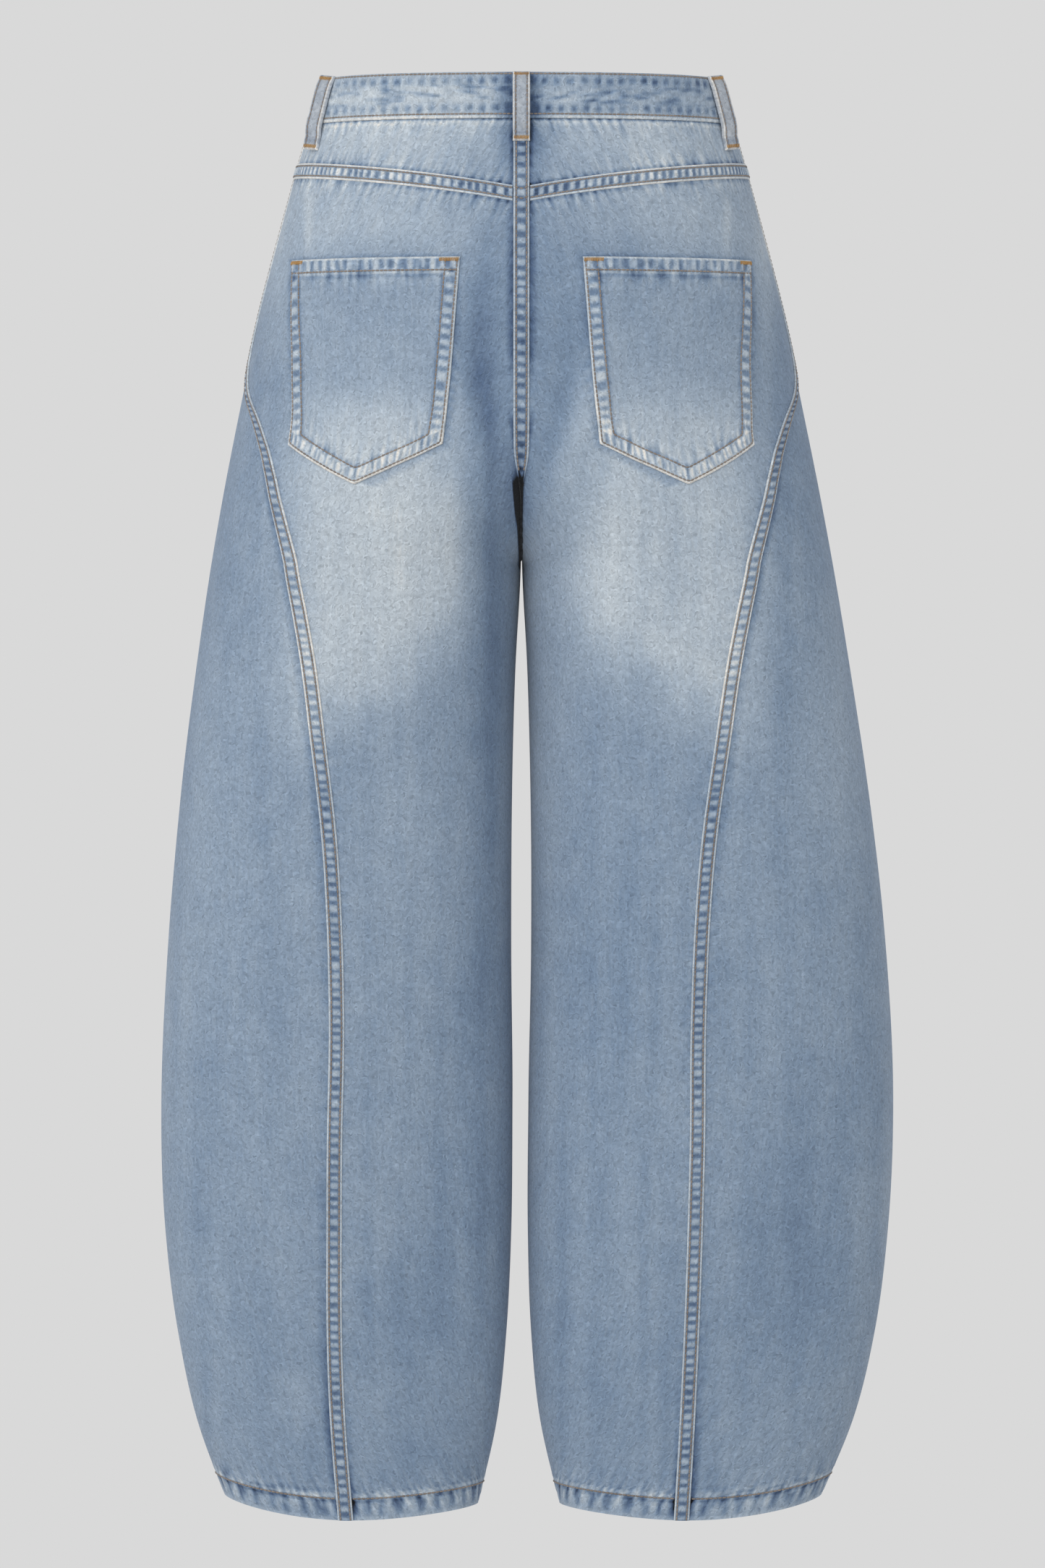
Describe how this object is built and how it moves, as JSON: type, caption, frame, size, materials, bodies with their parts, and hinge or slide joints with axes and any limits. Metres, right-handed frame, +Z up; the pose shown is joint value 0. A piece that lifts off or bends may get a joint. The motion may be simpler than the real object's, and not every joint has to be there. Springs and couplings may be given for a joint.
{
  "type": "barrel leg trousers",
  "caption": "Barrel leg denim trousers, filled out as if worn, with an open waist and hems, back yoke, patch pockets, belt loops and felled seams.",
  "frame": {"origin": "middle of the waist opening, level with the top edge of the waistband at the back", "axes": "+Z up along the body, +Y towards the back of the garment, +X towards the wearer's left"},
  "size_m": [0.5055, 0.2341, 0.9926],
  "materials": {
    "leg_denim": "washed denim, matt",
    "yoke_denim": "washed denim, matt",
    "pocket_denim": "washed denim, matt",
    "waistband_denim": "washed denim, matt",
    "loop_denim": "washed denim, matt",
    "seam_denim": "washed denim, puckered along its stitching",
    "zip_tape": "woven tape, matt",
    "button_metal": "aged, satin"
  },
  "bodies": {
    "root": {"back_left_hip": "leg_denim", "back_left_shin": "leg_denim", "back_left_thigh": "leg_denim", "back_right_hip": "leg_denim", "back_right_shin": "leg_denim", "back_right_thigh": "leg_denim", "belt_loop_back": "loop_denim", "belt_loop_front_left": "loop_denim", "belt_loop_front_right": "loop_denim", "belt_loop_left": "loop_denim", "belt_loop_right": "loop_denim", "button": "button_metal", "front_left_hip": "leg_denim", "front_left_shin": "leg_denim", "front_left_thigh": "leg_denim", "front_right_hip": "leg_denim", "front_right_shin": "leg_denim", "front_right_thigh": "leg_denim", "outseam_left": "seam_denim", "outseam_right": "seam_denim", "pocket_left": "pocket_denim", "pocket_right": "pocket_denim", "seat_seam": "seam_denim", "waistband": "waistband_denim", "yoke_left": "yoke_denim", "yoke_right": "yoke_denim", "yoke_seam_left": "seam_denim", "yoke_seam_right": "seam_denim", "zip": "zip_tape"}
  },
  "joints": []
}
